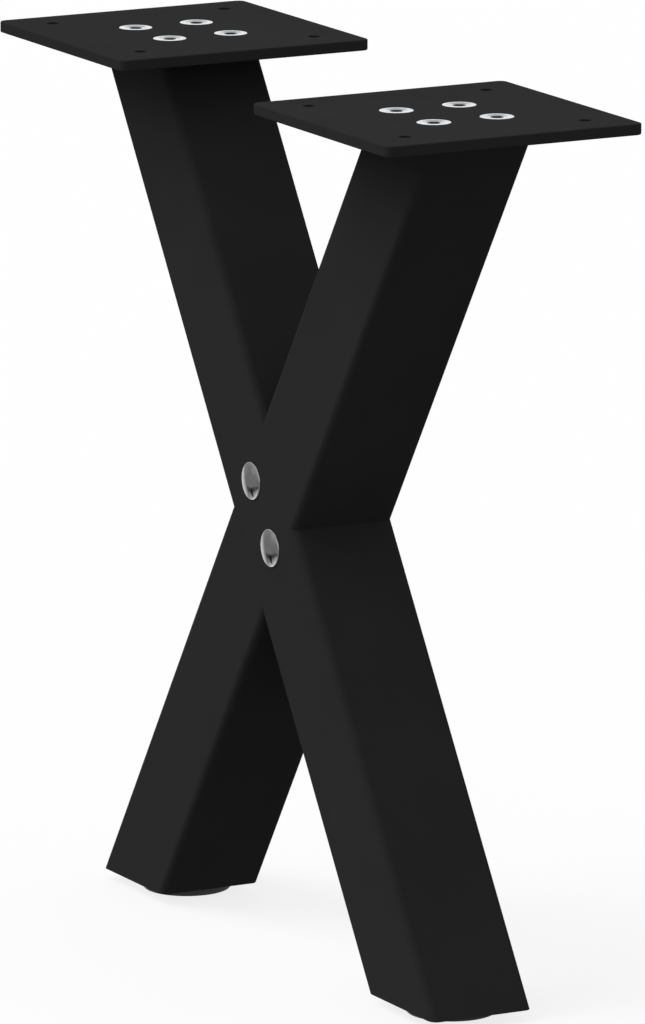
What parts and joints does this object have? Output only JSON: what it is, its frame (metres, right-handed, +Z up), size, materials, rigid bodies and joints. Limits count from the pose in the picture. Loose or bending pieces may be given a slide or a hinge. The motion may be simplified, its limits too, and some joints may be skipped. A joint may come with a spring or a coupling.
{
  "type": "x shaped table leg",
  "caption": "X shaped table leg of square steel tube, with mounting plates on top, a bolted crossing and levelling feet.",
  "frame": {"origin": "on the floor, midway between the two feet", "axes": "+Z up, +X along the leg's width from the left foot to the right, -Y the face with the domed bolt heads"},
  "size_m": [0.2986, 0.1, 0.319],
  "materials": {
    "powder_coat": "matt black powder coat",
    "bare_steel": "plain mild steel",
    "nickel_plate": "bright nickel plate",
    "zinc_plate": "bright zinc plate",
    "zinc_stud": "zinc plated thread",
    "pad_plastic": "satin black moulded nylon"
  },
  "bodies": {
    "leg_frame": {"main_arm": "powder_coat", "upper_half_arm": "powder_coat", "lower_half_arm": "powder_coat", "left_mounting_plate": "powder_coat", "right_mounting_plate": "powder_coat", "left_foot_end_plate": "powder_coat", "right_foot_end_plate": "powder_coat", "upper_joint_tongue": "bare_steel", "lower_joint_tongue": "bare_steel", "left_top_end_plate": "bare_steel", "right_top_end_plate": "bare_steel", "left_weld_nut": "bare_steel", "right_weld_nut": "bare_steel", "upper_cross_bolt": "nickel_plate", "lower_cross_bolt": "nickel_plate", "upper_bolt_washer": "nickel_plate", "lower_bolt_washer": "nickel_plate", "upper_bolt_nut": "nickel_plate", "lower_bolt_nut": "nickel_plate", "left_plate_screws": "zinc_plate", "right_plate_screws": "zinc_plate"},
    "left_foot": {"left_foot_stud": "zinc_stud", "left_foot_pad": "pad_plastic"},
    "right_foot": {"right_foot_stud": "zinc_stud", "right_foot_pad": "pad_plastic"}
  },
  "joints": [
    {"name": "left_foot_height", "type": "slide", "parent": "leg_frame", "child": "left_foot", "axis": [0, 0, -1], "range_m": [0, 0.01]},
    {"name": "right_foot_height", "type": "slide", "parent": "leg_frame", "child": "right_foot", "axis": [0, 0, -1], "range_m": [0, 0.01]}
  ]
}
